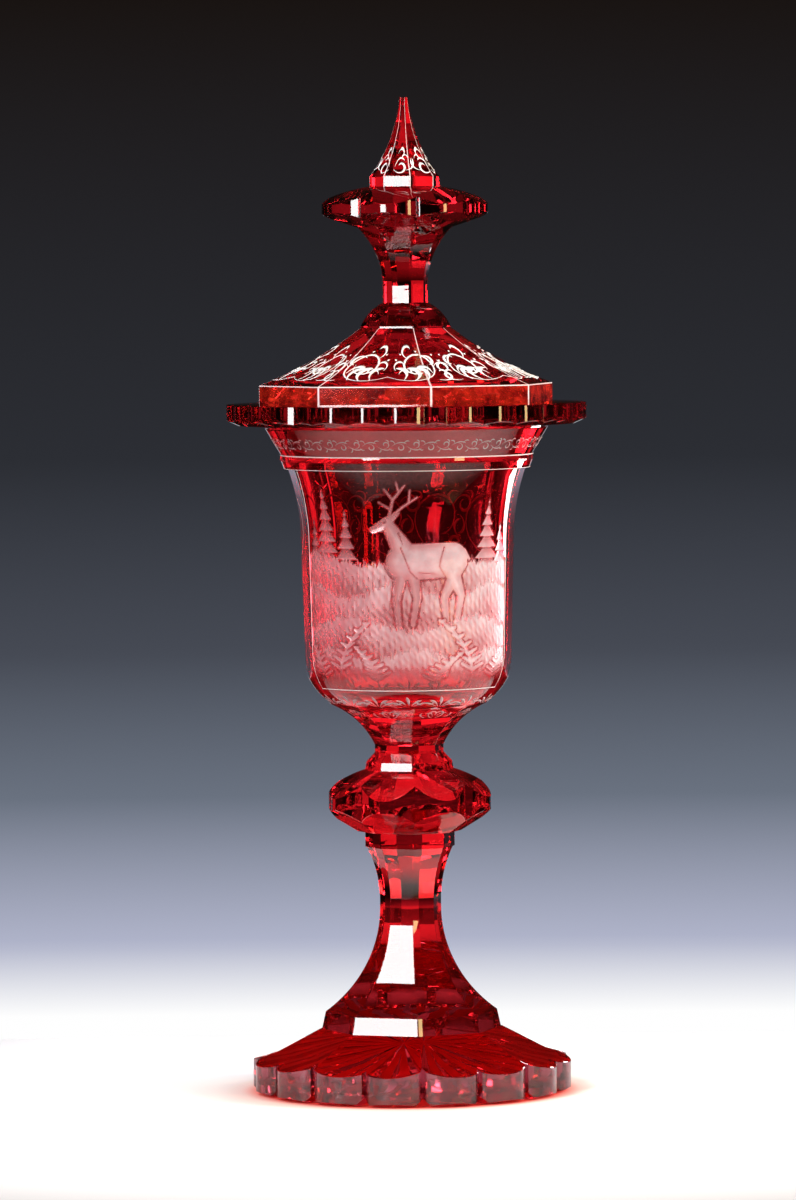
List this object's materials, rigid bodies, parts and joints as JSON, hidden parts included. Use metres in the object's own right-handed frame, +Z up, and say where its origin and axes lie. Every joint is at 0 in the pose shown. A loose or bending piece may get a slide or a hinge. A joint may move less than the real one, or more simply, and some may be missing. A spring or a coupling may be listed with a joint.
{
  "type": "covered glass goblet",
  "caption": "Ruby-stained cut-glass goblet on a lobed foot, with eight-sided stem, lobed knop, engraved bowl and a lift-off domed cover with a spire finial.",
  "frame": {"origin": "middle of the foot on the surface it stands on", "axes": "+Z up along the axis of the goblet, the picture panel of the bowl faces -Y"},
  "size_m": [0.152, 0.152, 0.42],
  "materials": {
    "ruby_glass": "ruby-stained cut glass, polished",
    "ruby_bowl_glass": "ruby-stained blown glass, polished, with matt engraving",
    "ground_glass": "clear glass, ground matt where it seats"
  },
  "bodies": {
    "goblet": {"foot": "ruby_glass", "stem": "ruby_glass", "stem_collar": "ruby_glass", "knop": "ruby_glass", "neck_collar": "ruby_glass", "bowl": "ruby_bowl_glass"},
    "cover": {"cover_seat_ring": "ground_glass", "cover_flange": "ruby_glass", "cover_dome": "ruby_glass", "finial_collar": "ruby_glass", "finial_neck": "ruby_glass", "finial_disc": "ruby_glass", "finial_spire": "ruby_glass"}
  },
  "joints": [
    {"name": "cover_lift", "type": "slide", "parent": "goblet", "child": "cover", "axis": [0, 0, 1], "range_m": [0, 0.15]}
  ]
}
